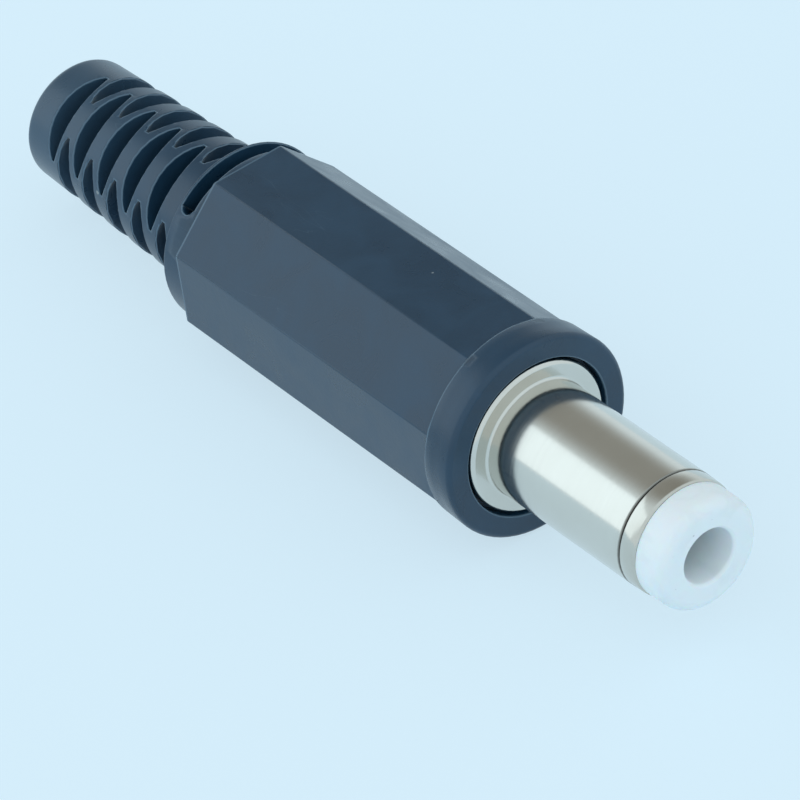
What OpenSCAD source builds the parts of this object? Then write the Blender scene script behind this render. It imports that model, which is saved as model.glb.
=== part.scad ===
// Straight DC barrel plug with an octagonal screw-on cover and a slotted strain relief.
// The plug's axis runs along X, and the tip points to +X. The front face of the cover's collar
// lies at x = 0, and the plug lies on one flat of the octagon, with +Z up.

/* [Barrel] */
// Outside diameter of the metal barrel
barrel_d = 5.5; // [5.2:0.1:5.7]
// Length of the metal barrel in front of the cover
barrel_len = 9.5; // [8.5:0.5:12]
// Wall of the metal barrel
barrel_wall = 0.35; // [0.3:0.05:0.4]
// Diameter of the socket in the centre contact
socket_d = 2.5; // [2.1:0.1:2.6]
// Length of the insulating tip in front of the metal
tip_len = 1.6; // [1.2:0.1:2.4]
// Distance from the groove round the barrel to the end of the metal
groove_back = 0.93; // [0.7:0.1:1.5]

/* [Cover] */
// Width of the octagonal body across its flats
body_flats = 8.78; // [8.7:0.1:9.4]
// Length of the body, collar included
body_len = 19.4; // [18.4:0.2:24]
// Length of the round collar at the front
collar_len = 1.7; // [1.2:0.1:2.5]
// How far the collar's front stands out past the corners of the octagon
collar_proud = 0.05; // [0.04:0.02:0.3]
// Diameter of the flange that seats in the front of the cover
flange_d = 7.14; // [7:0.02:7.2]

/* [Strain relief] */
// Length of the strain relief behind the body
boot_len = 13.85; // [13.4:0.2:18]
// Diameter of the strain relief where it leaves the body
boot_root_d = 6.7; // [6.5:0.1:7]
// Diameter of the strain relief at the cable end
boot_end_d = 5.96; // [5.8:0.1:6.4]
// Diameter of the cable that the strain relief grips
cable_d = 3.6; // [3:0.1:4]
// Slots in each of the four rows
slot_count = 5; // [3:1:5]
// Distance from one slot of a row to the next
slot_pitch = 1.96; // [1.9:0.02:2.1]
// Width of a slot at the surface
slot_w = 1.04; // [0.8:0.04:1.1]
// Turn of the first row of slots about the axis, from the side
slot_turn = 128; // [120:1:140]

/* [Inside] */
// Length of the sleeve's threaded stub behind the flange
stub_len = 5; // [4:0.5:6]
// Length of the tail of the outer lug
lug_len = 8.8; // [7:0.2:9]

/* [Hidden] */
$fn = 96;

black = [0.13, 0.14, 0.17];
nickel = [0.78, 0.76, 0.70];
white = [0.93, 0.94, 0.94];
brown = [0.42, 0.24, 0.14];

// A blunt edge that moulded and turned pieces have
edge = 0.25;
// A number large enough to cut right through
far = 30;
// Slack between two turned pieces that fit one in the other
slip = 0.03;

barrel_r = barrel_d / 2;
sleeve_bore_r = barrel_r - barrel_wall;
socket_r = socket_d / 2;
contact_r = socket_r + 0.25;
rod_r = 0.8;
flange_r = flange_d / 2;
flange_t = 0.8;
stub_r = 2.95;
stub_bore_r = 2;

body_corner_r = body_flats / 2 / cos(22.5);
collar_r = body_corner_r + collar_proud;
shoulder_r = body_flats / 2 - 0.03;
shoulder_len = 1.35;
root_x = -body_len - shoulder_len - 0.6;
end_x = -body_len - boot_len;
boot_root_r = boot_root_d / 2;
boot_end_r = boot_end_d / 2;

seat_x = -flange_t;
thread_r = stub_r + 0.09;
chamber_r = 3.15;
chamber_x = -16.2;
cable_r = cable_d / 2;

// Depth of the slots, as the distance of their floor from the axis
slot_surface_r = (boot_root_r + boot_end_r) / 2;
side_floor = 2.35;
through_floor = 1.06;
side_slot_x = -body_len - 3.9;
through_slot_x = side_slot_x + slot_pitch / 2 - 0.05;
neck_slot_x = -body_len - 0.35;
neck_slot_w = 0.8;

// Stack of pieces behind the stub, from the front to the back
rim_x = seat_x - stub_len;
plate_t = 0.35;
rim_t = 0.3;
rim_r = stub_bore_r + 0.2;
rolled_r = rim_r + 0.2;
bush_x = rim_x - plate_t - rim_t;
bush_t = 1;
lug_x = bush_x - bush_t;
head_x = lug_x - plate_t;
step_x = -2.6;
shank_x = -3;
tail_w = 1.8;
tail_z = -rolled_r - 0.05 - plate_t;

// Turns a solid of revolution, drawn along Z, so that it lies along X
module along_x() {
    rotate([0, 90, 0]) children();
}

// Revolves an outline of [radius, x] points about the plug's axis
module turned(outline) {
    along_x() rotate_extrude() polygon(outline);
}

// A round bar from x0 to x1
module bar(r, x0, x1) {
    translate([x0, 0, 0]) along_x() cylinder(r = r, h = x1 - x0);
}

// Points [radius, x] of a rounded outer edge, centred on [r, x], from angle a0 to angle a1
function round_edge(r, x, size, a0, a1, steps = 4) =
    [for (i = [0:steps]) let (a = a0 + (a1 - a0) * i / steps) [r + size * cos(a), x + size * sin(a)]];

// The collar, a little wider at its front
module collar() {
    turned(concat(
        [[0, -collar_len], [body_corner_r + 0.005, -collar_len]],
        round_edge(collar_r - edge, -edge, edge, 0, 90),
        [[0, 0]]
    ));
}

module octagon_body() {
    translate([-body_len, 0, 0]) along_x() rotate([0, 0, 22.5])
        cylinder(r = body_corner_r, h = body_len - collar_len / 2, $fn = 8);
}

// The round shoulder behind the octagon and the tapered boot that follows it
module boot() {
    turned(concat(
        [[0, end_x]],
        round_edge(boot_end_r - 0.45, end_x + 0.45, 0.45, -90, 0),
        [[boot_root_r, root_x]],
        round_edge(shoulder_r - 0.15, -body_len - shoulder_len + 0.15, 0.15, -60, 0),
        [[shoulder_r, -body_len], [shoulder_r - 0.6, -body_len], [shoulder_r - 0.6, -body_len + 1],
         [0, -body_len + 1]]
    ));
}

// One slot across the boot, leaf-shaped on its round surface: a trough that widens outwards from its
// floor, cut in from the side at angle turn
module slot(x, turn, floor_r) {
    depth = slot_surface_r - floor_r;
    outline = [for (t = [0.02, 0.15, 0.4, 0.7, 1, 1.9]) [slot_w / 2 * pow(t, 0.7), floor_r + depth * t]];
    mirrored = [for (i = [len(outline) - 1:-1:0]) [-outline[i][0], outline[i][1]]];
    rotate([turn - 90, 0, 0]) translate([x, 0, 0]) rotate([90, 0, 0])
        linear_extrude(height = far, center = true) polygon(concat(outline, mirrored));
}

// Four rows of slots: two shallow rows on opposite sides, and two deep rows between them
module slots() {
    for (i = [0:slot_count - 1], side = [0, 1]) {
        slot(side_slot_x - i * slot_pitch, slot_turn + 180 * side, side_floor);
        slot(through_slot_x - i * slot_pitch, slot_turn + 90 + 180 * side, through_floor);
    }
}

// The wide slot that frees the upper half of the shoulder from the body
module neck_slot() {
    rotate([slot_turn - 180, 0, 0]) translate([neck_slot_x - neck_slot_w, -far / 2, -0.3])
        cube([neck_slot_w, far, far]);
}

// The hollow that takes the flange, the thread, the lugs and the cable
module cover_bore() {
    turned([
        [0, 1], [flange_r + 0.15, 1], [flange_r + 0.15, seat_x], [thread_r, seat_x],
        [thread_r, seat_x - stub_len - 1], [chamber_r, seat_x - stub_len - 1.1],
        [chamber_r, chamber_x], [cable_r, chamber_x - 1.4], [cable_r, end_x + 0.3],
        [cable_r + 0.4, end_x - 0.1], [0, end_x - 0.1]
    ]);
}

module cover() {
    color(black) difference() {
        union() {
            collar();
            octagon_body();
            boot();
        }
        cover_bore();
        neck_slot();
        slots();
    }
}

// Turned sleeve: barrel, flange, threaded stub and the thin rim that is rolled over the outer lug
module sleeve() {
    groove_x = barrel_len - groove_back;
    color(nickel) difference() {
        turned([
            [0, bush_x], [rolled_r, bush_x], [rolled_r, bush_x + rim_t], [rim_r, bush_x + rim_t],
            [rim_r, rim_x], [stub_r - 0.2, rim_x], [stub_r, rim_x + 0.2], [stub_r, seat_x - 0.5],
            [stub_r - 0.25, seat_x - 0.4], [stub_r - 0.25, seat_x], [flange_r, seat_x], [flange_r, -0.12],
            [flange_r - 0.15, 0.03], [barrel_r + 0.15, 0.03], [barrel_r + 0.05, 0.07], [barrel_r, 0.18],
            [barrel_r, groove_x - 0.06], [barrel_r - 0.1, groove_x], [barrel_r, groove_x + 0.06],
            [barrel_r - 0.03, barrel_len - 0.1], [barrel_r - 0.1, barrel_len], [0, barrel_len]
        ]);
        bar(stub_bore_r, bush_x - 1, 0);
        bar(sleeve_bore_r, step_x, barrel_len + 1);
    }
}

// Moulded insulator: the rounded tip, and the tube that keeps the contact clear of the sleeve
module insulator() {
    tip_x = barrel_len + tip_len;
    tip_r = barrel_r - 0.1;
    nose = 0.55;
    mouth_r = socket_r + 0.05;
    color(white) difference() {
        turned(concat(
            [[0, step_x], [sleeve_bore_r - slip, step_x], [sleeve_bore_r - slip, barrel_len],
             [tip_r, barrel_len]],
            round_edge(tip_r - nose, tip_x - nose, nose, 0, 90, 6),
            [[0, tip_x]]
        ));
        turned([
            [0, shank_x], [contact_r + slip, shank_x], [contact_r + slip, tip_x - 0.8], [mouth_r, tip_x - 0.8],
            [mouth_r, tip_x - 0.15], [mouth_r + 0.15, tip_x], [mouth_r + 0.15, tip_x + 1], [0, tip_x + 1]
        ]);
    }
}

// Centre contact: a tube split into four fingers, on a shank that is riveted through the bush
module centre_contact() {
    front_x = barrel_len + tip_len - 0.8;
    floor_x = -1.9;
    finger_len = 6;
    color(nickel) difference() {
        turned([
            [0, head_x - 0.35], [rod_r + 0.25, head_x - 0.35], [rod_r + 0.35, head_x - 0.2],
            [rod_r + 0.35, head_x], [rod_r, head_x], [rod_r, shank_x], [contact_r, shank_x],
            [contact_r, front_x], [0, front_x]
        ]);
        turned([
            [0, floor_x - 0.7], [socket_r, floor_x], [socket_r, front_x - 0.15],
            [socket_r + 0.15, front_x], [socket_r + 0.15, front_x + 1], [0, front_x + 1]
        ]);
        for (turn = [45, 135])
            rotate([turn, 0, 0]) translate([front_x - finger_len, -0.12, -far / 2])
                cube([finger_len + 1, 0.24, far]);
    }
}

// Insulating bush: a spigot in the stub, and a flange that parts the lugs and is keyed by the tail
module rear_bush() {
    color(brown) difference() {
        turned([
            [0, lug_x], [2.75, lug_x], [2.75, bush_x], [stub_bore_r - slip, bush_x],
            [stub_bore_r - slip, shank_x], [0, shank_x]
        ]);
        bar(rod_r + slip, lug_x - 1, shank_x + 1);
        translate([lug_x - 1, -tail_w / 2 - slip, -4]) cube([bush_t + 2, tail_w + 2 * slip, 4 + tail_z + plate_t + 0.05]);
    }
}

// Outer lug: a ring on the sleeve's rim, with a bent tail that ends in a trough for the cable
module outer_lug() {
    ring_r = 2.85;
    tail_x = rim_x - lug_len;
    trough_len = 2.4;
    trough_turn = 80;
    color(nickel) difference() {
        union() {
            bar(ring_r, rim_x - plate_t, rim_x);
            translate([tail_x, -tail_w / 2, tail_z]) cube([lug_len, tail_w, plate_t]);
            translate([tail_x, 0, 0]) along_x() rotate([0, 0, -trough_turn])
                rotate_extrude(angle = 2 * trough_turn)
                    translate([-tail_z - plate_t, 0]) square([plate_t, trough_len]);
        }
        bar(rim_r + slip, rim_x - 1, rim_x + 1);
        translate([tail_x + trough_len + 1.4, 0, tail_z - 1]) cylinder(r = 0.5, h = 2);
    }
}

// Centre lug: a small ring under the contact's rivet head, with a bent tail for the inner wire
module centre_lug() {
    ring_r = 1.6;
    bend_z = 1.35;
    wire_len = 4.2;
    wire_w = 1.6;
    color(nickel) difference() {
        union() {
            bar(ring_r, head_x, lug_x);
            translate([head_x, -wire_w / 2, 0]) cube([plate_t, wire_w, bend_z + plate_t]);
            translate([lug_x - wire_len, -wire_w / 2, bend_z]) cube([wire_len, wire_w, plate_t]);
            translate([lug_x - wire_len, 0, bend_z]) cylinder(r = wire_w / 2, h = plate_t);
        }
        bar(rod_r + slip, head_x - 1, lug_x + 1);
        translate([lug_x - wire_len, 0, bend_z - 1]) cylinder(r = 0.45, h = 3);
    }
}

cover();
sleeve();
insulator();
centre_contact();
rear_bush();
outer_lug();
centre_lug();
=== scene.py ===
"""Dresses the DC barrel plug: soft moulded edges, plating, threads, materials, lights and camera.

Everything is in metres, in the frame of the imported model: the plug's axis runs along X, the tip
points to +X, and the front face of the cover's collar lies at x = 0.
"""

import math

import bmesh
import bpy
from bpy.props import FloatProperty, FloatVectorProperty, IntProperty, PointerProperty
from bpy.types import Operator, Panel, PropertyGroup
from mathutils import Matrix, Quaternion, Vector


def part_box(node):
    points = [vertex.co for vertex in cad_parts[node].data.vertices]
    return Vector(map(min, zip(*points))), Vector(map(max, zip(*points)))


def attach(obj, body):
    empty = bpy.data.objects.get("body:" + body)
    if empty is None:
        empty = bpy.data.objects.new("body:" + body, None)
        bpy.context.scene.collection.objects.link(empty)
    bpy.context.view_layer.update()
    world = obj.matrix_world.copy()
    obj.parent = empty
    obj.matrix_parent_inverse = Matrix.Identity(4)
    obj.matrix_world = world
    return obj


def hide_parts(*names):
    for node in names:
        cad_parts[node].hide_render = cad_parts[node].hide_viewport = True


bl_info = {
    "name": "Barrel Plug",
    "version": (1, 0, 0),
    "blender": (4, 5, 0),
    "location": "3D View > Sidebar > Barrel Plug",
    "description": "Builds the visible pieces, materials and stage of a DC barrel plug",
    "category": "Object",
}

MM = 0.001
LONG_EDGE = 3 * MM
SHORT_SLOT_X = -23.2 * MM
LONG_SLOT_X = -22.28 * MM
BLUNT_TIP = 0.09 * MM
GROOVE_X = 8.57 * MM
BODY_BACK = -19.4 * MM
COLLAR_BACK = -1.7 * MM
NECK_SLOT_X = -20.15 * MM
NECK_END_TURN = math.radians(4.0)

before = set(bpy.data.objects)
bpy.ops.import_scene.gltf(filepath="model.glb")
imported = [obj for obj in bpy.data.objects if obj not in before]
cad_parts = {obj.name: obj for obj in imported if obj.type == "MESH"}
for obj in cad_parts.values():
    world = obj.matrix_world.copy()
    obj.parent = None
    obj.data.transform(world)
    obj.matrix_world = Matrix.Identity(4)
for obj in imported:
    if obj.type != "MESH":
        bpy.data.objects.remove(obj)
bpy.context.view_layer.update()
cover_low, cover_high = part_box("cover")
sleeve_low, sleeve_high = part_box("sleeve")
tip_low, tip_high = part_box("insulator")


# ---------------------------------------------------------------------------------------------
# Sizes and colours
# ---------------------------------------------------------------------------------------------


class BARREL_PG_cover(PropertyGroup):
    """Moulded screw-on cover"""

    edge_radius: FloatProperty(
        name="Edge Radius",
        description="Rounding of the moulded edges",
        default=0.07 * MM,
        min=0.02 * MM,
        max=0.12 * MM,
        unit="LENGTH",
        precision=6,
    )
    plastic: FloatVectorProperty(
        name="Plastic",
        description="Colour of the moulded plastic",
        subtype="COLOR",
        size=3,
        min=0,
        max=1,
        default=(0.0125, 0.044, 0.083),
    )
    # Colour of the painted edge highlights, of the painted lighter tone on the strain relief, and of the fine scuffs.
    sheen_and_scuff: FloatVectorProperty(
        name="Painted Edge Sheen and Scuffs",
        description="Colour of the painted sheen on the edges, and of the scuffs",
        subtype="COLOR",
        size=3,
        min=0,
        max=1,
        default=(0.10, 0.165, 0.225),
    )
    dust: FloatVectorProperty(
        name="Dust",
        description="Colour of the dust specks on the cover",
        subtype="COLOR",
        size=3,
        min=0,
        max=1,
        default=(0.42, 0.45, 0.44),
    )
    roughness: FloatProperty(
        name="Roughness",
        description="Roughness of the moulded faces",
        subtype="FACTOR",
        min=0,
        max=1,
        default=0.3,
    )
    boot_root_radius: FloatProperty(
        name="Strain Relief Root Radius",
        description="Radius of the strain relief where it leaves the shoulder",
        default=3.35 * MM,
        unit="LENGTH",
        precision=6,
    )
    boot_end_radius: FloatProperty(
        name="Strain Relief End Radius",
        description="Radius of the strain relief at the cable end",
        default=2.98 * MM,
        unit="LENGTH",
        precision=6,
    )
    boot_root: FloatProperty(
        name="Strain Relief Root",
        description="Where the strain relief leaves the shoulder, along the axis",
        default=-21.35 * MM,
        unit="LENGTH",
        precision=6,
    )
    cable_radius: FloatProperty(
        name="Cable Radius",
        description="Radius of the hole for the cable",
        default=1.8 * MM,
        unit="LENGTH",
        precision=6,
    )
    slot_pitch: FloatProperty(
        name="Slot Pitch",
        description="Distance from one slot of a row to the next",
        default=1.95 * MM,
        unit="LENGTH",
        precision=6,
    )
    slot_turn: FloatProperty(
        name="Slot Turn",
        description="Turn of the first row of slots about the axis, from the side",
        default=math.radians(127),
        subtype="ANGLE",
    )
    slots_in_row: IntProperty(
        name="Slots in a Row",
        description="Slots in each of the four rows",
        default=5,
        min=3,
        max=5,
    )
    thread_radius: FloatProperty(
        name="Thread Bore Radius",
        description="Radius of the cover's threaded bore",
        default=3.04 * MM,
        unit="LENGTH",
        precision=6,
    )


class BARREL_PG_metal(PropertyGroup):
    """Plated sleeve, contact and lugs"""

    edge_radius: FloatProperty(
        name="Edge Radius",
        description="Rounding of the turned edges",
        default=0.04 * MM,
        min=0.01 * MM,
        max=0.06 * MM,
        unit="LENGTH",
        precision=6,
    )
    nickel: FloatVectorProperty(
        name="Nickel",
        description="Colour of the nickel plating",
        subtype="COLOR",
        size=3,
        min=0,
        max=1,
        default=(0.70, 0.69, 0.64),
    )
    tarnish: FloatVectorProperty(
        name="Tarnish",
        description="Colour of the plating where it has dulled",
        subtype="COLOR",
        size=3,
        min=0,
        max=1,
        default=(0.46, 0.42, 0.35),
    )
    tin: FloatVectorProperty(
        name="Tin",
        description="Colour of the tinned solder lugs",
        subtype="COLOR",
        size=3,
        min=0,
        max=1,
        default=(0.66, 0.65, 0.62),
    )
    thread_pitch: FloatProperty(
        name="Thread Pitch",
        description="Advance of the sleeve's thread in one turn",
        default=0.5 * MM,
        min=0.35 * MM,
        max=0.8 * MM,
        unit="LENGTH",
        precision=6,
    )
    thread_depth: FloatProperty(
        name="Thread Depth",
        description="Height of the thread above the stub",
        default=0.075 * MM,
        min=0.03 * MM,
        max=0.08 * MM,
        unit="LENGTH",
        precision=6,
    )
    thread_steps: IntProperty(
        name="Thread Steps",
        description="Faces in one turn of the thread",
        default=48,
        min=24,
        max=96,
    )
    stub_radius: FloatProperty(
        name="Stub Radius",
        description="Radius of the sleeve's stub below its thread",
        default=2.95 * MM,
        unit="LENGTH",
        precision=6,
    )
    stub_front: FloatProperty(
        name="Stub Front",
        description="Where the thread ends, behind the flange",
        default=-1.35 * MM,
        unit="LENGTH",
        precision=6,
    )
    stub_back: FloatProperty(
        name="Stub Back",
        description="Where the thread starts, at the back of the stub",
        default=-5.5 * MM,
        unit="LENGTH",
        precision=6,
    )


class BARREL_PG_inside(PropertyGroup):
    """White tip and the insulating bush"""

    tip: FloatVectorProperty(
        name="Tip",
        description="Colour of the white tip moulding",
        subtype="COLOR",
        size=3,
        min=0,
        max=1,
        default=(0.90, 0.93, 0.94),
    )
    bush: FloatVectorProperty(
        name="Bush",
        description="Colour of the fibre bush between the lugs",
        subtype="COLOR",
        size=3,
        min=0,
        max=1,
        default=(0.22, 0.11, 0.055),
    )
    contact_front: FloatProperty(
        name="Contact Front",
        description="Where the centre contact starts inside the tip, along the axis",
        default=7.6 * MM,
        unit="LENGTH",
        precision=6,
    )
    tip_edge_radius: FloatProperty(
        name="Tip Edge Radius",
        description="Rounding of the tip's sharp edges",
        default=0.05 * MM,
        min=0.01 * MM,
        max=0.06 * MM,
        unit="LENGTH",
        precision=6,
    )


class BARREL_PG_stage(PropertyGroup):
    """Floor, lights and camera"""

    floor_size: FloatProperty(
        name="Floor Size",
        description="Side of the square floor",
        default=2.4,
        unit="LENGTH",
    )
    floor_colour: FloatVectorProperty(
        name="Floor",
        description="Colour of the floor and of the far surroundings",
        subtype="COLOR",
        size=3,
        min=0,
        max=1,
        default=(0.72, 0.895, 1.0),
    )
    floor_evenness: FloatProperty(
        name="Floor Evenness",
        description="How much of the floor's own colour shows through the shadow",
        subtype="FACTOR",
        min=0,
        max=1,
        default=0.72,
    )
    sky_colour: FloatVectorProperty(
        name="Surroundings",
        description="Colour of the soft light from all round",
        subtype="COLOR",
        size=3,
        min=0,
        max=2,
        default=(0.80, 0.93, 1.0),
    )
    ceiling_colour: FloatVectorProperty(
        name="Ceiling",
        description="Colour of the darker part of the surroundings above and behind",
        subtype="COLOR",
        size=3,
        min=0,
        max=2,
        default=(0.33, 0.34, 0.32),
    )
    key_radiance: FloatProperty(
        name="Key Light",
        description="Brightness of the large soft light at the left",
        default=0.5,
        min=0,
    )
    camera_azimuth: FloatProperty(
        name="Camera Azimuth",
        description="Turn of the camera about the vertical, from the side",
        default=math.radians(57.301),
        subtype="ANGLE",
    )
    camera_elevation: FloatProperty(
        name="Camera Elevation",
        description="Height of the camera above the horizon",
        default=math.radians(38.580),
        subtype="ANGLE",
    )
    camera_roll: FloatProperty(
        name="Camera Roll",
        description="Turn of the camera about its line of sight",
        default=math.radians(-8.857),
        subtype="ANGLE",
    )
    camera_distance: FloatProperty(
        name="Camera Distance",
        description="Distance from the camera to the point it looks at",
        default=0.26033,
        unit="LENGTH",
    )
    camera_lens: FloatProperty(
        name="Lens",
        description="Focal length in millimetres on a sensor 36 mm wide",
        default=270,
        unit="CAMERA",
    )
    camera_target: FloatVectorProperty(
        name="Camera Target",
        description="Point that the camera looks at",
        subtype="TRANSLATION",
        size=3,
        default=(-0.01015, 0.0, -0.0037),
    )


# ---------------------------------------------------------------------------------------------
# Mesh helpers
# ---------------------------------------------------------------------------------------------


def piece_from(bm, name, body, material, smooth_angle=32):
    """Puts a finished bmesh into the scene as a piece that rides on a body."""
    mesh = bpy.data.meshes.new(name)
    bm.to_mesh(mesh)
    bm.free()
    mesh.shade_smooth()
    mesh.set_sharp_from_angle(angle=math.radians(smooth_angle))
    mesh.materials.append(material)
    piece = bpy.data.objects.new(name, mesh)
    bpy.context.scene.collection.objects.link(piece)
    even = piece.modifiers.new("even_shading", "WEIGHTED_NORMAL")
    even.mode = "FACE_AREA"
    even.keep_sharp = True
    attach(piece, body)
    return piece


def merged(node):
    """A merged copy of a CAD node."""
    bm = bmesh.new()
    bm.from_mesh(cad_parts[node].data)
    bmesh.ops.remove_doubles(bm, verts=bm.verts, dist=1e-7)
    return bm


def cut_off(bm, x, forward):
    """Removes what lies past x, in front of it or behind it, and closes the cut."""
    cut = bmesh.ops.bisect_plane(
        bm,
        geom=[*bm.verts, *bm.edges, *bm.faces],
        dist=1e-8,
        plane_co=(x, 0.0, 0.0),
        plane_no=(1.0 if forward else -1.0, 0.0, 0.0),
        clear_outer=True,
    )
    rim = [e for e in cut["geom_cut"] if isinstance(e, bmesh.types.BMEdge)]
    bmesh.ops.triangle_fill(bm, edges=rim, use_beauty=True, use_dissolve=False)
    bmesh.ops.recalc_face_normals(bm, faces=bm.faces)
    return bm


def spun(outline, steps=96):
    """A closed outline of (x, radius) points spun right round the X axis."""
    bm = bmesh.new()
    points = [bm.verts.new((x, 0.0, radius)) for x, radius in outline]
    edges = [bm.edges.new(pair) for pair in zip(points, [*points[1:], points[0]])]
    bmesh.ops.spin(
        bm,
        geom=[*points, *edges],
        cent=(0.0, 0.0, 0.0),
        axis=(1.0, 0.0, 0.0),
        dvec=(0.0, 0.0, 0.0),
        angle=math.tau,
        steps=steps,
        use_merge=True,
        use_duplicate=False,
    )
    bmesh.ops.remove_doubles(bm, verts=bm.verts, dist=1e-7)
    bmesh.ops.recalc_face_normals(bm, faces=bm.faces)
    return bm


def add_leaf(bm, x, turn, width, half_angle, power, radius, floor, rim, surface):
    """Adds a leaf-shaped cutter, which reaches straight out at angle turn and opens into a mouth with round rims.

    surface gives the radius of the turned body at a place along it, so that the rims follow the body.
    """
    steps = 14
    arc = [math.radians(30 * k) for k in range(4)]
    levels = [(0.0, None), *((rim * (1 - math.cos(a)), rim * (1 - math.sin(a))) for a in arc), (rim, None)]
    rings = []
    for level, (wider, depth) in enumerate(levels):
        rows = ([], [])
        for k in range(steps + 1):
            share = -math.cos(math.pi * k / steps)
            half = max(BLUNT_TIP, width / 2 * max(0.0, 1 - share * share) ** power) + wider
            across = radius * math.sin(share * half_angle) * (1 + wider / (radius * math.sin(half_angle)))
            for row, side in zip(rows, (1, -1)):
                place = x + side * half
                height = math.sqrt(max(surface(place) ** 2 - across * across, (0.25 * MM) ** 2))
                steep = surface(place) / height
                if level == 0:
                    up = min(floor, height - 1.2 * rim * steep - 0.03 * MM)
                elif depth is None:
                    up = 2.0 * radius
                else:
                    up = height - depth * steep
                row.append(bm.verts.new((place, across, up)))
        rings.append(rows)
    for lower, upper in zip(rings, rings[1:]):
        for low, high in zip(lower, upper):
            for k in range(steps):
                bm.faces.new((low[k], low[k + 1], high[k + 1], high[k]))
        for k in (0, steps):
            bm.faces.new((lower[0][k], lower[1][k], upper[1][k], upper[0][k]))
    for left, right in (rings[0], rings[-1]):
        for k in range(steps):
            bm.faces.new((left[k], left[k + 1], right[k + 1], right[k]))
    bmesh.ops.rotate(
        bm,
        verts=[v for rows in rings for row in rows for v in row],
        cent=(0.0, 0.0, 0.0),
        matrix=Matrix.Rotation(turn - math.pi / 2, 3, "X"),
    )


def cut_by(bm, cutters):
    """Takes the closed cutters out of a closed bmesh, with the exact boolean."""
    made = []
    for name, part in (("whole", bm), ("cutters", cutters)):
        mesh = bpy.data.meshes.new(name)
        part.to_mesh(mesh)
        part.free()
        made.append(bpy.data.objects.new(name, mesh))
        bpy.context.scene.collection.objects.link(made[-1])
    whole, tool = made
    cut = whole.modifiers.new("cut", "BOOLEAN")
    cut.operation, cut.solver, cut.object, cut.use_self = "DIFFERENCE", "EXACT", tool, True
    result = bmesh.new()
    result.from_object(whole, bpy.context.evaluated_depsgraph_get())
    for thing in made:
        mesh = thing.data
        bpy.data.objects.remove(thing)
        bpy.data.meshes.remove(mesh)
    if not result.faces:
        raise RuntimeError("the boolean left nothing")
    return result


def sharp_edges(bm, angle, wanted=None):
    """The outer edges that turn by more than angle degrees, those that wanted refuses left out."""
    return [
        e
        for e in bm.edges
        if e.is_manifold
        and e.is_convex
        and e.calc_face_angle() > math.radians(angle)
        and (wanted is None or wanted(e))
    ]


def rounded(bm, radius, segments=2, sharp_angle=24, wanted=None):
    """Rounds the sharp edges. The rounded strips carry an attribute that marks where the cover's material paints an
    edge highlight, apart from those of long straight edges.
    """
    bmesh.ops.remove_doubles(bm, verts=bm.verts, dist=2e-6)
    bmesh.ops.dissolve_limit(
        bm,
        angle_limit=math.radians(0.3),
        use_dissolve_boundaries=False,
        verts=bm.verts,
        edges=bm.edges,
        delimit=set(),
    )
    corners = {v for e in sharp_edges(bm, sharp_angle) for v in e.verts}
    bmesh.ops.remove_doubles(bm, verts=list(corners), dist=0.6 * radius)
    sheen_and_scuff = bm.faces.layers.float.new("sheen_and_scuff")
    made = bmesh.ops.bevel(
        bm,
        geom=sharp_edges(bm, sharp_angle, wanted),
        offset=radius,
        offset_type="OFFSET",
        segments=segments,
        profile=0.5,
        affect="EDGES",
        clamp_overlap=False,
        loop_slide=True,
        material=-1,
    )
    # The marked strips get a painted edge highlight in the cover's material.
    for face in made["faces"]:
        longest = max(face.edges, key=lambda e: e.calc_length())
        face[sheen_and_scuff] = 0.0 if longest.calc_length() > LONG_EDGE else 1.0
    bmesh.ops.dissolve_degenerate(bm, dist=1e-7, edges=bm.edges)
    return bm


def helix_ridge(radius, depth, start, end, pitch, steps):
    """A triangular ridge wound round the X axis from start to end. A negative depth points inwards."""
    bm = bmesh.new()
    sink = math.copysign(0.03 * MM, depth)
    corners = [
        bm.verts.new((start, 0.0, radius - sink)),
        bm.verts.new((start + 0.42 * pitch, 0.0, radius + depth)),
        bm.verts.new((start + 0.58 * pitch, 0.0, radius + depth)),
        bm.verts.new((start + pitch, 0.0, radius - sink)),
    ]
    face = bm.faces.new(corners)
    turns = (end - start) / pitch - 1
    count = max(8, round(turns * steps))
    bmesh.ops.spin(
        bm,
        geom=[face, *face.edges, *face.verts],
        cent=(0.0, 0.0, 0.0),
        axis=(1.0, 0.0, 0.0),
        dvec=(turns * pitch / count, 0.0, 0.0),
        angle=turns * math.tau,
        steps=count,
        use_merge=False,
        use_duplicate=False,
    )
    bmesh.ops.recalc_face_normals(bm, faces=bm.faces)
    return bm


# ---------------------------------------------------------------------------------------------
# Material helpers and shared effects
# ---------------------------------------------------------------------------------------------


def add(tree, kind, place, inputs=None, **settings):
    """A node at a place on the sheet, with its settings and socket values."""
    made = tree.nodes.new(kind)
    made.location = (place[0] * 200, place[1] * 200)
    for key, value in settings.items():
        setattr(made, key, value)
    for key, value in (inputs or {}).items():
        made.inputs[key].default_value = value
    return made


def join(tree, source, target):
    """Links an output socket to an input socket."""
    tree.links.new(source, target)


def blend_colour(tree, place, factor, first, second, how="MIX"):
    """Mixes two colours by a factor. Each may be a socket or a value."""
    mix = add(tree, "ShaderNodeMix", place, data_type="RGBA", blend_type=how)
    for socket, value in ((mix.inputs[0], factor), (mix.inputs[6], first), (mix.inputs[7], second)):
        if isinstance(value, bpy.types.NodeSocket):
            join(tree, value, socket)
        elif isinstance(value, float):
            socket.default_value = value
        else:
            socket.default_value = (*value[:3], 1.0)
    return mix.outputs[2]


def reckon(tree, place, how, first, second=0.0, third=0.0, clamp=False):
    """A Math node. Each of its inputs may be a socket or a number."""
    made = add(tree, "ShaderNodeMath", place, operation=how, use_clamp=clamp)
    for socket, value in zip(made.inputs, (first, second, third)):
        if isinstance(value, bpy.types.NodeSocket):
            join(tree, value, socket)
        else:
            socket.default_value = value
    return made.outputs[0]


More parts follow.
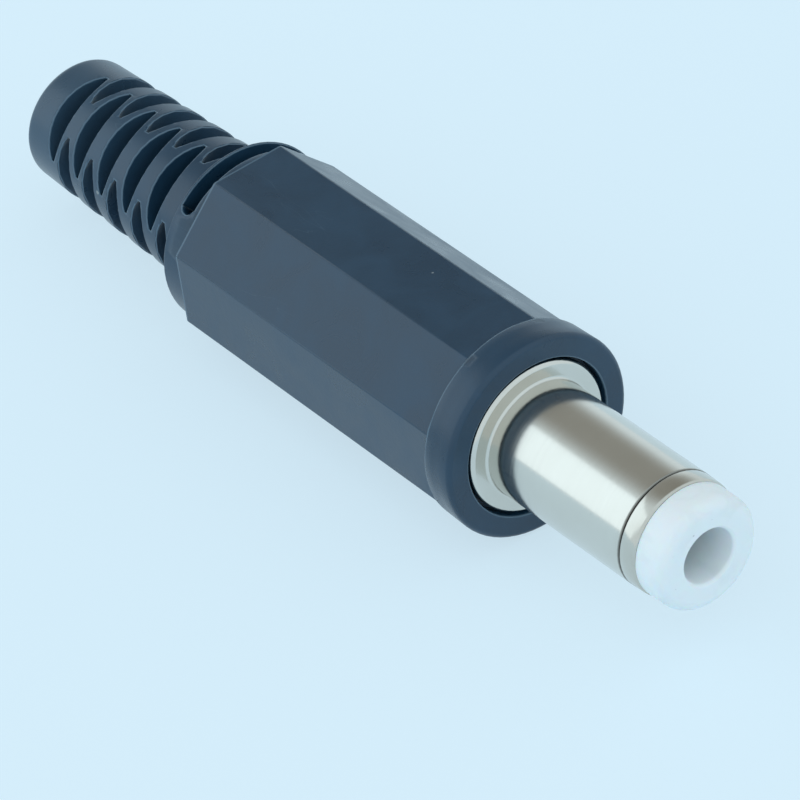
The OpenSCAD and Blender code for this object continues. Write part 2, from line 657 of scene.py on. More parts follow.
def effect_group(name, inputs, outputs):
    """A new node group with its named sockets. Returns the tree, its input node and its output node."""
    tree = bpy.data.node_groups.new(name, "ShaderNodeTree")
    kinds = {"vector": "NodeSocketVector", "value": "NodeSocketFloat", "colour": "NodeSocketColor"}
    for socket, kind, default in inputs:
        made = tree.interface.new_socket(socket, in_out="INPUT", socket_type=kinds[kind])
        if default is not None:
            made.default_value = default
    for socket, kind in outputs:
        tree.interface.new_socket(socket, in_out="OUTPUT", socket_type=kinds[kind])
    return tree, add(tree, "NodeGroupInput", (-5, 0)), add(tree, "NodeGroupOutput", (5, 0))


def moulded_skin():
    """Fine grain, slow unevenness and flow marks of a moulded face."""
    tree, given, out = effect_group(
        "moulded_skin",
        [("Vector", "vector", None), ("Grain", "value", 9000.0), ("Unevenness", "value", 420.0)],
        [("Height", "value"), ("Mottle", "value")],
    )
    grain = add(tree, "ShaderNodeTexNoise", (-3, 2), {"Detail": 3.0, "Roughness": 0.6})
    slow = add(tree, "ShaderNodeTexNoise", (-3, 0), {"Detail": 4.0, "Roughness": 0.55, "Distortion": 0.6})
    join(tree, given.outputs["Vector"], grain.inputs["Vector"])
    join(tree, given.outputs["Grain"], grain.inputs["Scale"])
    join(tree, given.outputs["Vector"], slow.inputs["Vector"])
    join(tree, given.outputs["Unevenness"], slow.inputs["Scale"])
    height = reckon(tree, (0, 1), "MULTIPLY_ADD", slow.outputs["Fac"], 1.6, grain.outputs["Fac"])
    join(tree, height, out.inputs["Height"])
    join(tree, slow.outputs["Fac"], out.inputs["Mottle"])
    return tree


def dust_specks():
    """Small scattered specks: one in some of the cells of a Voronoi pattern."""
    tree, given, out = effect_group(
        "dust_specks",
        [("Vector", "vector", None), ("Scale", "value", 900.0), ("Size", "value", 0.12), ("Share", "value", 0.1)],
        [("Mask", "value")],
    )
    warp = add(tree, "ShaderNodeTexNoise", (-4, 2), {"Scale": 4000.0, "Detail": 2.0})
    shifted = add(tree, "ShaderNodeVectorMath", (-3, 2), operation="MULTIPLY_ADD")
    shifted.inputs[1].default_value = (0.00012, 0.00012, 0.00012)
    cells = add(tree, "ShaderNodeTexVoronoi", (-2, 1), {"Randomness": 1.0})
    join(tree, given.outputs["Vector"], warp.inputs["Vector"])
    join(tree, warp.outputs["Color"], shifted.inputs[0])
    join(tree, given.outputs["Vector"], shifted.inputs[2])
    join(tree, shifted.outputs[0], cells.inputs["Vector"])
    join(tree, given.outputs["Scale"], cells.inputs["Scale"])
    parts = add(tree, "ShaderNodeSeparateColor", (-1, 0))
    join(tree, cells.outputs["Color"], parts.inputs[0])
    chosen = reckon(tree, (0, 0), "LESS_THAN", parts.outputs[0], given.outputs["Share"])
    reach = reckon(tree, (0, 1), "MULTIPLY", parts.outputs[1], given.outputs["Size"])
    near = reckon(tree, (1, 1), "LESS_THAN", cells.outputs["Distance"], reach)
    join(tree, reckon(tree, (2, 0), "MULTIPLY", chosen, near), out.inputs["Mask"])
    return tree


def hairlines():
    """Fine scratches that run one way, given by the stretch of the vector."""
    tree, given, out = effect_group(
        "hairlines",
        [("Vector", "vector", None), ("Scale", "value", 300.0), ("Width", "value", 0.02)],
        [("Mask", "value")],
    )
    lines = add(tree, "ShaderNodeTexNoise", (-3, 1), {"Detail": 2.0, "Distortion": 0.35})
    patches = add(tree, "ShaderNodeTexNoise", (-3, -1), {"Scale": 330.0, "Detail": 1.0})
    join(tree, given.outputs["Vector"], lines.inputs["Vector"])
    join(tree, given.outputs["Scale"], lines.inputs["Scale"])
    join(tree, given.outputs["Vector"], patches.inputs["Vector"])
    off = reckon(tree, (-1, 1), "ABSOLUTE", reckon(tree, (-2, 1), "SUBTRACT", lines.outputs["Fac"], 0.5))
    thin = reckon(tree, (0, 1), "LESS_THAN", off, given.outputs["Width"])
    where = reckon(tree, (0, -1), "GREATER_THAN", patches.outputs["Fac"], 0.56)
    join(tree, reckon(tree, (2, 0), "MULTIPLY", thin, where), out.inputs["Mask"])
    return tree


def turning_marks():
    """Rings left by turning, drawn out round the X axis, with a slow unevenness of the plating."""
    tree, given, out = effect_group(
        "turning_marks",
        [("Vector", "vector", None), ("Rings", "value", 9000.0), ("Unevenness", "value", 500.0)],
        [("Height", "value"), ("Ring", "value"), ("Mottle", "value")],
    )
    parts = add(tree, "ShaderNodeSeparateXYZ", (-4, 1))
    join(tree, given.outputs["Vector"], parts.inputs[0])
    rings = add(tree, "ShaderNodeTexNoise", (-2, 2), {"Detail": 4.0, "Roughness": 0.7}, noise_dimensions="1D")
    join(tree, parts.outputs["X"], rings.inputs["W"])
    join(tree, given.outputs["Rings"], rings.inputs["Scale"])
    slow = add(tree, "ShaderNodeTexNoise", (-2, 0), {"Detail": 4.0, "Roughness": 0.6, "Distortion": 0.4})
    join(tree, given.outputs["Vector"], slow.inputs["Vector"])
    join(tree, given.outputs["Unevenness"], slow.inputs["Scale"])
    height = reckon(tree, (0, 1), "MULTIPLY_ADD", slow.outputs["Fac"], 0.8, rings.outputs["Fac"])
    join(tree, height, out.inputs["Height"])
    join(tree, rings.outputs["Fac"], out.inputs["Ring"])
    join(tree, slow.outputs["Fac"], out.inputs["Mottle"])
    return tree


def effect(tree, name, place, **values):
    """Places a shared effect in a material and feeds it the piece's own coordinates."""
    makers = {
        "moulded_skin": moulded_skin,
        "dust_specks": dust_specks,
        "hairlines": hairlines,
        "turning_marks": turning_marks,
    }
    group = bpy.data.node_groups.get(name) or makers[name]()
    used = add(tree, "ShaderNodeGroup", place, node_tree=group)
    for key, value in values.items():
        socket = used.inputs[key.replace("_", " ").title()]
        if isinstance(value, bpy.types.NodeSocket):
            join(tree, value, socket)
        else:
            socket.default_value = value
    return used


def blank_material(name, colour, **constants):
    """A material with one Principled shader whose constants sit on its own sockets."""
    material = bpy.data.materials.new(name)
    material.use_nodes = True
    material.diffuse_color = (*colour[:3], 1.0)
    tree = material.node_tree
    tree.nodes.clear()
    shader = add(tree, "ShaderNodeBsdfPrincipled", (6, 0))
    for key, value in constants.items():
        shader.inputs[key.replace("_", " ").title()].default_value = value
    shader.inputs["Base Color"].default_value = (*colour[:3], 1.0)
    out = add(tree, "ShaderNodeOutputMaterial", (8, 0))
    join(tree, shader.outputs[0], out.inputs[0])
    return material, tree, shader


def relief(tree, shader, place, height, strength, distance):
    """Sends a height through a Bump node to the shader's normal."""
    bump = add(tree, "ShaderNodeBump", place, {"Strength": strength, "Distance": distance})
    join(tree, height, bump.inputs["Height"])
    join(tree, bump.outputs[0], shader.inputs["Normal"])


def cover_plastic(sizes):
    """Black moulded plastic: grained, faintly uneven, with a painted highlight on its edges, a painted lighter tone
    towards the cable end, fine scuffs and a little dust.
    """
    material, tree, shader = blank_material("cover_plastic", sizes.plastic)
    where = add(tree, "ShaderNodeTexCoord", (-6, 0)).outputs["Object"]
    skin = effect(tree, "moulded_skin", (-4, 1), vector=where)
    specks = effect(tree, "dust_specks", (-4, -1), vector=where, scale=1100.0, size=0.16, share=0.035)
    long_way = add(tree, "ShaderNodeMapping", (-5, -3))
    long_way.inputs["Scale"].default_value = (0.16, 1.0, 1.0)
    join(tree, where, long_way.inputs["Vector"])
    lines = effect(tree, "hairlines", (-4, -3), vector=long_way.outputs[0], scale=900.0, width=0.002)
    # Painted highlight on the marked rounded edges.
    edge = add(tree, "ShaderNodeAttribute", (-4, 3), attribute_name="sheen_and_scuff", attribute_type="GEOMETRY")
    along = add(tree, "ShaderNodeSeparateXYZ", (-5, 5))
    join(tree, where, along.inputs[0])
    rims = edge.outputs["Fac"]
    # Painted highlight lines along the rear edges of the octagon body and of the collar, where no rounding was made.
    for row, place in enumerate((BODY_BACK + 0.045 * MM, COLLAR_BACK + 0.045 * MM)):
        off = reckon(tree, (-4, 5 + row), "SUBTRACT", along.outputs["X"], place)
        rim = add(tree, "ShaderNodeMapRange", (-2, 5 + row), interpolation_type="SMOOTHSTEP")
        for key, value in (("From Min", 0.025 * MM), ("From Max", 0.06 * MM), ("To Min", 1.0), ("To Max", 0.0)):
            rim.inputs[key].default_value = value
        join(tree, reckon(tree, (-3, 5 + row), "ABSOLUTE", off), rim.inputs["Value"])
        rims = reckon(tree, (-1, 5 + row), "MAXIMUM", rims, rim.outputs[0])
    tone = add(tree, "ShaderNodeMapRange", (-2, 1))
    for key, value in (("From Min", 0.35), ("From Max", 0.65), ("To Min", 0.9), ("To Max", 1.1)):
        tone.inputs[key].default_value = value
    join(tree, skin.outputs["Mottle"], tone.inputs["Value"])
    base = blend_colour(tree, (0, 1), 1.0, sizes.plastic, tone.outputs[0], "MULTIPLY")
    # Painted light: the plastic grows lighter towards the cable end, where the light falls brighter on the strain
    # relief.
    painted_light_towards_end = add(tree, "ShaderNodeMapRange", (-2, 7), interpolation_type="SMOOTHSTEP")
    for key, value in (("From Min", -21.0 * MM), ("From Max", -34.0 * MM), ("To Min", 0.0), ("To Max", 0.24)):
        painted_light_towards_end.inputs[key].default_value = value
    join(tree, along.outputs["X"], painted_light_towards_end.inputs["Value"])
    # The painted edge highlights and the painted lighter tone towards the cable end, mixed into the base colour.
    painted_sheen = reckon(tree, (0, 4), "MAXIMUM", reckon(tree, (0, 3), "MULTIPLY", rims, 0.75), painted_light_towards_end.outputs[0])
    sheen_and_scuff = blend_colour(tree, (1, 1), painted_sheen, base, sizes.sheen_and_scuff)
    scuffed = blend_colour(
        tree, (2, 1), reckon(tree, (1, -2), "MULTIPLY", lines.outputs["Mask"], 0.18), sheen_and_scuff, sizes.sheen_and_scuff
    )
    dusted = blend_colour(
        tree, (3, 1), reckon(tree, (1, -1), "MULTIPLY", specks.outputs["Mask"], 0.6), scuffed, sizes.dust
    )
    join(tree, dusted, shader.inputs["Base Color"])
    rough = add(tree, "ShaderNodeMapRange", (0, -1))
    for key, value in (
        ("From Min", 0.3),
        ("From Max", 0.7),
        ("To Min", sizes.roughness - 0.05),
        ("To Max", sizes.roughness + 0.07),
    ):
        rough.inputs[key].default_value = value
    join(tree, skin.outputs["Mottle"], rough.inputs["Value"])
    polished = reckon(tree, (2, -1), "MULTIPLY_ADD", rims, -0.08, rough.outputs[0])
    dull = reckon(tree, (3, -1), "MULTIPLY_ADD", specks.outputs["Mask"], 0.35, polished)
    join(tree, dull, shader.inputs["Roughness"])
    relief(tree, shader, (4, -2), skin.outputs["Height"], 0.35, 0.012 * MM)
    return material


def plated_metal(name, colour, tarnish, roughness, rings, marks):
    """Plated turned metal: fine rings, slow unevenness and a dulled band towards its front end."""
    material, tree, shader = blank_material(name, colour, Metallic=1.0)
    where = add(tree, "ShaderNodeTexCoord", (-6, 0)).outputs["Object"]
    turned = effect(tree, "turning_marks", (-4, 1), vector=where, rings=rings)
    specks = effect(tree, "dust_specks", (-4, -1), vector=where, scale=1500.0, size=0.14, share=0.05)
    parts = add(tree, "ShaderNodeSeparateXYZ", (-4, -3))
    join(tree, where, parts.inputs[0])
    lip = add(tree, "ShaderNodeMapRange", (-3, -3), interpolation_type="SMOOTHSTEP")
    for key, value in (
        ("From Min", sleeve_high.x - 1.5 * MM),
        ("From Max", sleeve_high.x),
        ("To Min", 0.0),
        ("To Max", 0.55),
    ):
        lip.inputs[key].default_value = value
    join(tree, parts.outputs["X"], lip.inputs["Value"])
    dulled = reckon(tree, (-1, 0), "MULTIPLY", lip.outputs[0], turned.outputs["Mottle"])
    patchy = reckon(tree, (-1, 2), "MULTIPLY", turned.outputs["Mottle"], 0.25)
    amount = reckon(tree, (0, 1), "ADD", dulled, patchy, clamp=True)
    base = blend_colour(tree, (1, 1), amount, colour, tarnish)
    spotted = blend_colour(
        tree, (2, 1), reckon(tree, (1, -1), "MULTIPLY", specks.outputs["Mask"], 0.5), base, tarnish
    )
    # Paints a thin near-black ring on the metal along the line at GROOVE_X.
    away = reckon(tree, (-3, -4), "ABSOLUTE", reckon(tree, (-4, -4), "SUBTRACT", parts.outputs["X"], GROOVE_X))
    groove_line = add(tree, "ShaderNodeMapRange", (-2, -4), interpolation_type="SMOOTHSTEP")
    for key, value in (("From Min", 0.02 * MM), ("From Max", 0.12 * MM), ("To Min", 0.85), ("To Max", 0.0)):
        groove_line.inputs[key].default_value = value
    join(tree, away, groove_line.inputs["Value"])
    groove_darkened = blend_colour(tree, (3, 1), groove_line.outputs[0], spotted, (0.035, 0.028, 0.022))
    join(tree, groove_darkened, shader.inputs["Base Color"])
    rough = add(tree, "ShaderNodeMapRange", (0, -1))
    for key, value in (
        ("From Min", 0.3),
        ("From Max", 0.7),
        ("To Min", roughness - 0.03),
        ("To Max", roughness + 0.04),
    ):
        rough.inputs[key].default_value = value
    join(tree, turned.outputs["Ring"], rough.inputs["Value"])
    join(tree, rough.outputs[0], shader.inputs["Roughness"])
    relief(tree, shader, (4, -2), turned.outputs["Height"], marks, 0.004 * MM)
    return material


def tip_plastic(sizes):
    """White moulded plastic with a soft, slightly dirty surface."""
    material, tree, shader = blank_material("tip_plastic", sizes.tip)
    shader.inputs["Subsurface Weight"].default_value = 0.25
    shader.inputs["Subsurface Scale"].default_value = 0.4 * MM
    where = add(tree, "ShaderNodeTexCoord", (-6, 0)).outputs["Object"]
    skin = effect(tree, "moulded_skin", (-4, 1), vector=where, grain=7000.0, unevenness=700.0)
    specks = effect(tree, "dust_specks", (-4, -1), vector=where, scale=1800.0, size=0.1, share=0.05)
    stain = add(tree, "ShaderNodeMapRange", (-2, 1))
    for key, value in (("From Min", 0.52), ("From Max", 0.75), ("To Min", 0.0), ("To Max", 0.35)):
        stain.inputs[key].default_value = value
    join(tree, skin.outputs["Mottle"], stain.inputs["Value"])
    soiled = [c * f for c, f in zip(sizes.tip, (0.80, 0.80, 0.79))]
    base = blend_colour(tree, (1, 1), stain.outputs[0], sizes.tip, soiled)
    dirty = [c * 0.45 for c in sizes.tip]
    spotted = blend_colour(
        tree, (2, 1), reckon(tree, (1, -1), "MULTIPLY", specks.outputs["Mask"], 0.5), base, dirty
    )
    join(tree, spotted, shader.inputs["Base Color"])
    rough = reckon(tree, (1, -2), "MULTIPLY_ADD", skin.outputs["Mottle"], 0.2, 0.32)
    join(tree, rough, shader.inputs["Roughness"])
    relief(tree, shader, (4, -2), skin.outputs["Height"], 0.25, 0.008 * MM)
    return material


def bush_board(sizes):
    """Brown laminated board with its fibres lying across the axis."""
    material, tree, shader = blank_material("bush_board", sizes.bush)
    where = add(tree, "ShaderNodeTexCoord", (-6, 0)).outputs["Object"]
    layers = add(tree, "ShaderNodeMapping", (-5, 0))
    layers.inputs["Scale"].default_value = (6.0, 1.0, 1.0)
    join(tree, where, layers.inputs["Vector"])
    fibre = effect(tree, "moulded_skin", (-4, 1), vector=layers.outputs[0], grain=5200.0, unevenness=1500.0)
    dark = [c * 0.5 for c in sizes.bush]
    base = blend_colour(tree, (1, 1), fibre.outputs["Mottle"], dark, [c * 1.5 for c in sizes.bush])
    join(tree, base, shader.inputs["Base Color"])
    rough = reckon(tree, (1, -2), "MULTIPLY_ADD", fibre.outputs["Mottle"], 0.25, 0.45)
    join(tree, rough, shader.inputs["Roughness"])
    relief(tree, shader, (4, -2), fibre.outputs["Height"], 0.4, 0.012 * MM)
    return material


# ---------------------------------------------------------------------------------------------
# Operators: one for each piece or group of like pieces, and one for the stage
# ---------------------------------------------------------------------------------------------


class BARREL_OT_cover(Operator):
    """Round the edges of the moulded cover and cut the thread in its bore"""

    bl_idname = "barrel.cover"
    bl_label = "Cover"

    def execute(self, context):
        sizes = context.scene.barrel_cover
        metal = context.scene.barrel_metal
        material = cover_plastic(sizes)
        front = cut_off(merged("cover"), sizes.boot_root, forward=False)
        front = rounded(cut_by(front, self.neck_ends(sizes)), sizes.edge_radius, wanted=self.has_room)
        shell = piece_from(front, "cover_shell", "cover", material)
        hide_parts("cover")
        boot = piece_from(self.boot(sizes), "strain_relief", "cover", material)
        ridge = helix_ridge(
            sizes.thread_radius,
            -0.015 * MM,
            metal.stub_back - 1.1 * MM,
            metal.stub_front + 0.3 * MM,
            metal.thread_pitch,
            metal.thread_steps,
        )
        thread = piece_from(ridge, "cover_thread", "cover", material)
        return {"FINISHED"}

    def has_room(self, edge):
        """False where a step is too low to be rounded: behind the flats, and at the octagon's corners on the collar."""
        ends = [v.co.x for v in edge.verts]
        if all(abs(x - BODY_BACK) < 0.01 * MM for x in ends):
            return False
        if all(abs(x - COLLAR_BACK) < 0.01 * MM for x in ends):
            middle = (edge.verts[0].co + edge.verts[1].co) / 2
            turn = math.degrees(math.atan2(middle.z, middle.y))
            return abs(turn % 45 - 22.5) > 5
        return True

    def neck_ends(self, sizes):
        """Cutters that make the ends of the slot behind the body round."""
        bm = bmesh.new()
        for turn in (sizes.slot_turn + NECK_END_TURN, sizes.slot_turn - math.pi - NECK_END_TURN):
            made = bmesh.ops.create_cone(
                bm, cap_ends=True, segments=32, radius1=0.36 * MM, radius2=0.36 * MM, depth=3 * MM
            )
            bmesh.ops.translate(bm, verts=made["verts"], vec=(NECK_SLOT_X, 0.0, 3.6 * MM))
            bmesh.ops.rotate(
                bm,
                verts=made["verts"],
                cent=(0.0, 0.0, 0.0),
                matrix=Matrix.Rotation(turn - math.pi / 2, 3, "X"),
            )
        return bm

    def boot(self, sizes):
        """The tapered strain relief, with two rows of short slots and two rows of long ones between them."""
        end = cover_low.x
        nose = 0.45 * MM
        back, root = end + nose, sizes.boot_root
        rings = 44

        def surface(x):
            return sizes.boot_end_radius + (sizes.boot_root_radius - sizes.boot_end_radius) * (x - back) / (root - back)

        taper = [(x, surface(x)) for x in (back + (root - back) * k / rings for k in range(rings + 1))]
        curve = [
            (end + nose - nose * math.cos(a), sizes.boot_end_radius - nose + nose * math.sin(a))
            for a in (math.radians(15 * k) for k in range(6))
        ]
        bore = [(root + 0.3 * MM, sizes.cable_radius), (end + 0.35 * MM, sizes.cable_radius)]
        mouth = [(end, sizes.cable_radius + 0.35 * MM)]
        bm = spun([*mouth, *curve, *taper, (root + 0.3 * MM, sizes.boot_root_radius), *bore], 112)
        cutters = bmesh.new()
        for k in range(sizes.slots_in_row):
            for side in (0, 1):
                add_leaf(
                    cutters,
                    SHORT_SLOT_X - k * sizes.slot_pitch,
                    sizes.slot_turn + math.pi * side,
                    1.02 * MM,
                    math.radians(41),
                    0.65,
                    sizes.boot_root_radius,
                    1.2 * MM,
                    sizes.edge_radius,
                    surface,
                )
                add_leaf(
                    cutters,
                    LONG_SLOT_X - k * sizes.slot_pitch,
                    sizes.slot_turn + math.pi * (side + 0.5),
                    1.16 * MM,
                    math.radians(75),
                    0.62,
                    sizes.boot_end_radius,
                    0.75 * MM,
                    sizes.edge_radius,
                    surface,
                )
        bmesh.ops.recalc_face_normals(cutters, faces=cutters.faces)
        relief = cut_by(bm, cutters)
        bmesh.ops.remove_doubles(relief, verts=relief.verts, dist=0.001 * MM)
        bmesh.ops.dissolve_degenerate(relief, dist=0.0005 * MM, edges=relief.edges)
        # Marks the rounded slot rims, where the cover's material paints a lighter edge highlight.
        sheen_and_scuff = relief.faces.layers.float.new("sheen_and_scuff")
        relief.normal_update()
        for face in relief.faces:
            middle = face.calc_center_median()
            out = Vector((0.0, middle.y, middle.z))
            depth = surface(middle.x) - out.length
            lean = math.degrees(face.normal.angle(out, 0.0))
            on_rim = middle.x > back and 0.0 < depth < sizes.edge_radius and 8 < lean < 82
            face[sheen_and_scuff] = 1.0 if on_rim else 0.0
        return relief


class BARREL_OT_sleeve(Operator):
    """Finish the turned sleeve and wind the thread on its stub"""

    bl_idname = "barrel.sleeve"
    bl_label = "Sleeve"

    def execute(self, context):
        sizes = context.scene.barrel_metal
        plating = plated_metal("plated_brass", sizes.nickel, sizes.tarnish, 0.15, 5000.0, 0.06)
        sleeve = piece_from(rounded(merged("sleeve"), sizes.edge_radius), "plated_sleeve", "contacts", plating)
        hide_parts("sleeve")
        ridge = helix_ridge(
            sizes.stub_radius,
            sizes.thread_depth,
            sizes.stub_back,
            sizes.stub_front,
            sizes.thread_pitch,
            sizes.thread_steps,
        )
        thread = piece_from(ridge, "sleeve_thread", "contacts", plating)
        return {"FINISHED"}


class BARREL_OT_tip(Operator):
    """Finish the white tip moulding"""

    bl_idname = "barrel.tip"
    bl_label = "Tip"

    def execute(self, context):
        sizes = context.scene.barrel_inside
        nose = 0.55 * MM
        outer, inner = tip_high.z, 1.29 * MM
        liner, liner_bore = 2.37 * MM, 1.53 * MM
        front = tip_high.x
        bm = spun(
            [
                (tip_low.x, liner),
                (sleeve_high.x, liner),
                (sleeve_high.x, outer),
                (front, outer),
                (front, inner + 0.12 * MM),
                (front - 0.12 * MM, inner),
                (sizes.contact_front, inner),
                (sizes.contact_front, liner_bore),
                (tip_low.x, liner_bore),
            ]
        )
        corner = [
            e
            for e in bm.edges
            if all(v.co.x > front - 1e-6 and v.co.yz.length > outer - 1e-6 for v in e.verts)
        ]
        bmesh.ops.bevel(
            bm,
            geom=corner,
            offset=nose,
            offset_type="OFFSET",
            segments=8,
            profile=0.5,
            affect="EDGES",
            material=-1,
        )
        tip = piece_from(
            rounded(bm, sizes.tip_edge_radius), "tip_moulding", "contacts", tip_plastic(sizes)
        )
        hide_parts("insulator")
        return {"FINISHED"}


class BARREL_OT_contact(Operator):
    """Finish the split centre contact"""

    bl_idname = "barrel.contact"
    bl_label = "Centre Contact"

    def execute(self, context):
        sizes = context.scene.barrel_metal
        plating = plated_metal("contact_plating", sizes.nickel, sizes.tarnish, 0.26, 7000.0, 0.3)
        tube = cut_off(merged("centre_contact"), context.scene.barrel_inside.contact_front, forward=True)
        contact = piece_from(rounded(tube, 0.03 * MM), "spring_contact", "contacts", plating)
        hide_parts("centre_contact")
        return {"FINISHED"}


class BARREL_OT_lugs(Operator):
    """Finish the bush and the two solder lugs behind the sleeve"""

    bl_idname = "barrel.lugs"
    bl_label = "Bush and Lugs"

    def execute(self, context):
        metal = context.scene.barrel_metal
        board = bush_board(context.scene.barrel_inside)
        tinned = plated_metal("lug_plating", metal.tin, metal.tarnish, 0.34, 3000.0, 0.5)
        for node, name, radius, material, slot in (
            ("rear_bush", "fibre_bush", 0.05 * MM, board, "bush_board"),
            ("outer_lug", "ring_lug", 0.04 * MM, tinned, "lug_plating"),
            ("centre_lug", "wire_lug", 0.04 * MM, tinned, "lug_plating"),
        ):
            piece = piece_from(rounded(merged(node), radius), name, "contacts", material)
            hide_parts(node)
        return {"FINISHED"}


class BARREL_OT_stage(Operator):
    """Lay the floor, hang the lights and set the camera"""

    bl_idname = "barrel.stage"
    bl_label = "Stage"

    def execute(self, context):
        sizes = context.scene.barrel_stage
        self.floor(context, sizes)
        self.surroundings(context, sizes)
        self.lights(context, sizes)
        self.camera(context, sizes)
        context.scene.view_settings.view_transform = "Standard"
        return {"FINISHED"}

    def floor(self, context, sizes):
        """A pale floor that the plug rests on with its collar and the back of a flat."""
        front = Vector((-0.3 * MM, 0.0, cover_low.z))
        back = Vector((-19.4 * MM, 0.0, -4.39 * MM))
        bm = bmesh.new()
        bmesh.ops.create_grid(bm, x_segments=1, y_segments=1, size=sizes.floor_size / 2)
        tilt = math.atan2(back.z - front.z, front.x - back.x)
        bmesh.ops.rotate(bm, verts=bm.verts, cent=(0, 0, 0), matrix=Matrix.Rotation(tilt, 3, "Y"))
        bmesh.ops.translate(bm, verts=bm.verts, vec=front - Vector((0, 0, 0.005 * MM)))
        mesh = bpy.data.meshes.new("floor")
        bm.to_mesh(mesh)
        bm.free()
        mesh.materials.append(self.floor_paint(sizes))
        floor = bpy.data.objects.new("floor", mesh)
        context.scene.collection.objects.link(floor)

    def floor_paint(self, sizes):
        """Matt pale paint. Seen directly or in a reflection it keeps part of its own colour in the shadow, and it is clear from below."""
        material = bpy.data.materials.new("floor_paint")
        material.use_nodes = True
        tree = material.node_tree
        tree.nodes.clear()
        paint = add(tree, "ShaderNodeBsdfDiffuse", (0, 0))
        paint.inputs["Color"].default_value = (*sizes.floor_colour, 1.0)
        glow = add(tree, "ShaderNodeEmission", (0, 1))
        glow.inputs["Color"].default_value = (*sizes.floor_colour, 1.0)
        ray = add(tree, "ShaderNodeLightPath", (-3, 1))
        seen = reckon(tree, (-2, 1), "MAXIMUM", ray.outputs["Is Camera Ray"], ray.outputs["Is Glossy Ray"])
        seen = reckon(tree, (-1, 1), "MAXIMUM", seen, ray.outputs["Is Transmission Ray"])
        even = reckon(tree, (0, 2), "MULTIPLY", seen, sizes.floor_evenness)
        top = add(tree, "ShaderNodeMixShader", (1, 1))
        join(tree, even, top.inputs[0])
        join(tree, paint.outputs[0], top.inputs[1])
        join(tree, glow.outputs[0], top.inputs[2])
        under = add(tree, "ShaderNodeNewGeometry", (0, -1))
        clear = add(tree, "ShaderNodeBsdfTransparent", (1, -1))
        both = add(tree, "ShaderNodeMixShader", (2, 0))
        join(tree, under.outputs["Backfacing"], both.inputs[0])
        join(tree, top.outputs[0], both.inputs[1])
        join(tree, clear.outputs[0], both.inputs[2])
        out = add(tree, "ShaderNodeOutputMaterial", (3, 0))
        join(tree, both.outputs[0], out.inputs[0])
        return material

    def surroundings(self, context, sizes):
        """Soft light from all round, darker above and behind. Seen directly it has the floor's colour."""
        world = bpy.data.worlds.new("soft_surroundings")
        world.use_nodes = True
        tree = world.node_tree
        tree.nodes.clear()
        where = add(tree, "ShaderNodeTexCoord", (-5, 0)).outputs["Generated"]
        along = add(tree, "ShaderNodeVectorMath", (-4, 0), operation="DOT_PRODUCT")
        along.inputs[1].default_value = Vector((-0.55, 0.35, 0.76)).normalized()
        join(tree, where, along.inputs[0])
        shade = add(tree, "ShaderNodeMapRange", (-3, 0), interpolation_type="SMOOTHSTEP")
        for key, value in (("From Min", 0.70), ("From Max", 0.99), ("To Min", 0.0), ("To Max", 1.0)):
            shade.inputs[key].default_value = value
        join(tree, along.outputs["Value"], shade.inputs["Value"])
        light = blend_colour(tree, (-1, 0), shade.outputs[0], sizes.sky_colour, sizes.ceiling_colour)
        ray = add(tree, "ShaderNodeLightPath", (-1, 2))
        seen = blend_colour(tree, (0, 0), ray.outputs["Is Camera Ray"], light, sizes.floor_colour)
        background = add(tree, "ShaderNodeBackground", (1, 0))
        join(tree, seen, background.inputs["Color"])
        out = add(tree, "ShaderNodeOutputWorld", (2, 0))
        join(tree, background.outputs[0], out.inputs[0])
        context.scene.world = world

    def lights(self, context, sizes):
        """One large soft light, low at the left and behind."""
        for name, towards, distance, width, height, radiance in (
            ("key_light", (-0.66, -0.60, 0.45), 0.2, 0.18, 0.18, sizes.key_radiance),
        ):
            data = bpy.data.lights.new(name, "AREA")
            data.shape = "RECTANGLE"
            data.size, data.size_y = width, height
            data.color = (0.80, 0.93, 1.0)
            data.energy = radiance * math.pi * width * height
            light = bpy.data.objects.new(name, data)
            out = Vector(towards).normalized()
            light.location = Vector((-0.026, 0.0, 0.0)) + out * distance
            light.rotation_mode = "QUATERNION"
            light.rotation_quaternion = (-out).to_track_quat("-Z", "Y")
            light.visible_camera = False
            context.scene.collection.objects.link(light)

    def camera(self, context, sizes):
        """The camera, at a given turn and height about the point it looks at."""
        around, up = sizes.camera_azimuth, sizes.camera_elevation
        back = Vector(
            (math.sin(around) * math.cos(up), -math.cos(around) * math.cos(up), math.sin(up))
        )
        data = bpy.data.cameras.new("camera")
        data.lens, data.sensor_width = sizes.camera_lens, 36.0
        data.clip_start, data.clip_end = 0.01, 10.0
        camera = bpy.data.objects.new("camera", data)
        camera.location = Vector(sizes.camera_target) + back * sizes.camera_distance
        camera.rotation_mode = "QUATERNION"
        roll = Quaternion((0, 0, 1), sizes.camera_roll)
        camera.rotation_quaternion = (-back).to_track_quat("-Z", "Y") @ roll
        context.scene.collection.objects.link(camera)
        context.scene.camera = camera


OPERATORS = (
    BARREL_OT_cover,
    BARREL_OT_sleeve,
    BARREL_OT_tip,
    BARREL_OT_contact,
    BARREL_OT_lugs,
    BARREL_OT_stage,
)


class BARREL_PT_sidebar(Panel):
    """Lists the plug's operators and sizes"""

    bl_idname = "BARREL_PT_sidebar"
    bl_label = "Barrel Plug"
    bl_space_type = "VIEW_3D"
    bl_region_type = "UI"
    bl_category = "Barrel Plug"

    def draw(self, context):
        for operator in OPERATORS:
            self.layout.operator(operator.bl_idname)
        for group in (
            context.scene.barrel_cover,
            context.scene.barrel_metal,
            context.scene.barrel_inside,
            context.scene.barrel_stage,
        ):
            box = self.layout.box()
            for name in group.__annotations__:
                box.prop(group, name)


GROUPS = {
    "barrel_cover": BARREL_PG_cover,
    "barrel_metal": BARREL_PG_metal,
    "barrel_inside": BARREL_PG_inside,
    "barrel_stage": BARREL_PG_stage,
}


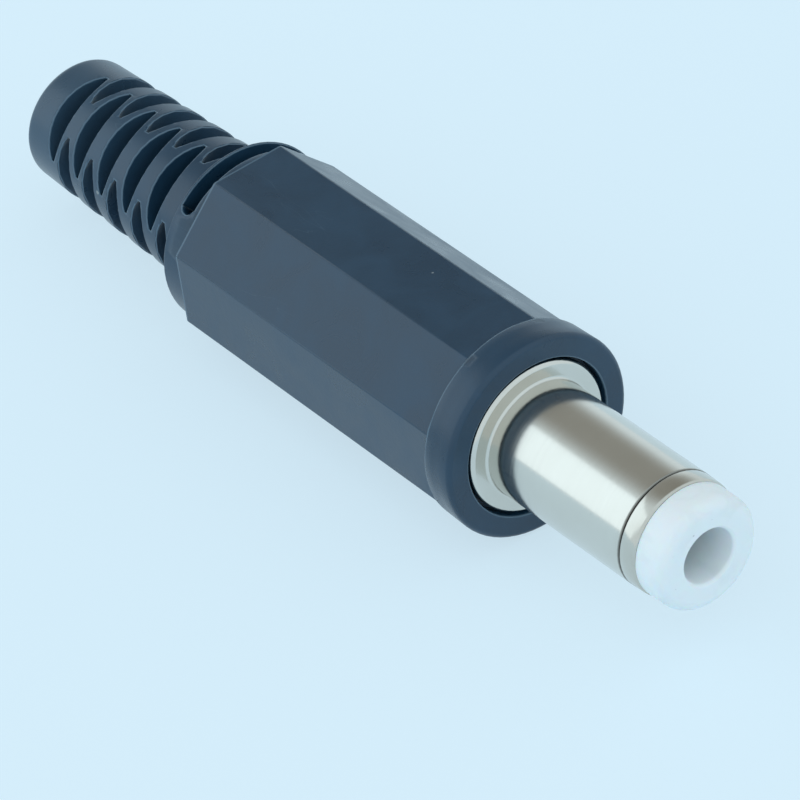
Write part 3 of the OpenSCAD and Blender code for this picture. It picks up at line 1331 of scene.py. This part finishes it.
def register():
    for group in GROUPS.values():
        bpy.utils.register_class(group)
    for operator in OPERATORS:
        bpy.utils.register_class(operator)
    bpy.utils.register_class(BARREL_PT_sidebar)
    for name, group in GROUPS.items():
        setattr(bpy.types.Scene, name, PointerProperty(type=group))


def unregister():
    for name in GROUPS:
        delattr(bpy.types.Scene, name)
    bpy.utils.unregister_class(BARREL_PT_sidebar)
    for operator in reversed(OPERATORS):
        bpy.utils.unregister_class(operator)
    for group in reversed(GROUPS.values()):
        bpy.utils.unregister_class(group)


def main():
    """Registers the classes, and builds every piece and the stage."""
    register()
    bpy.ops.barrel.cover()
    bpy.ops.barrel.sleeve()
    bpy.ops.barrel.tip()
    bpy.ops.barrel.contact()
    bpy.ops.barrel.lugs()
    bpy.ops.barrel.stage()
    bpy.context.view_layer.update()


if __name__ == "__main__":
    main()
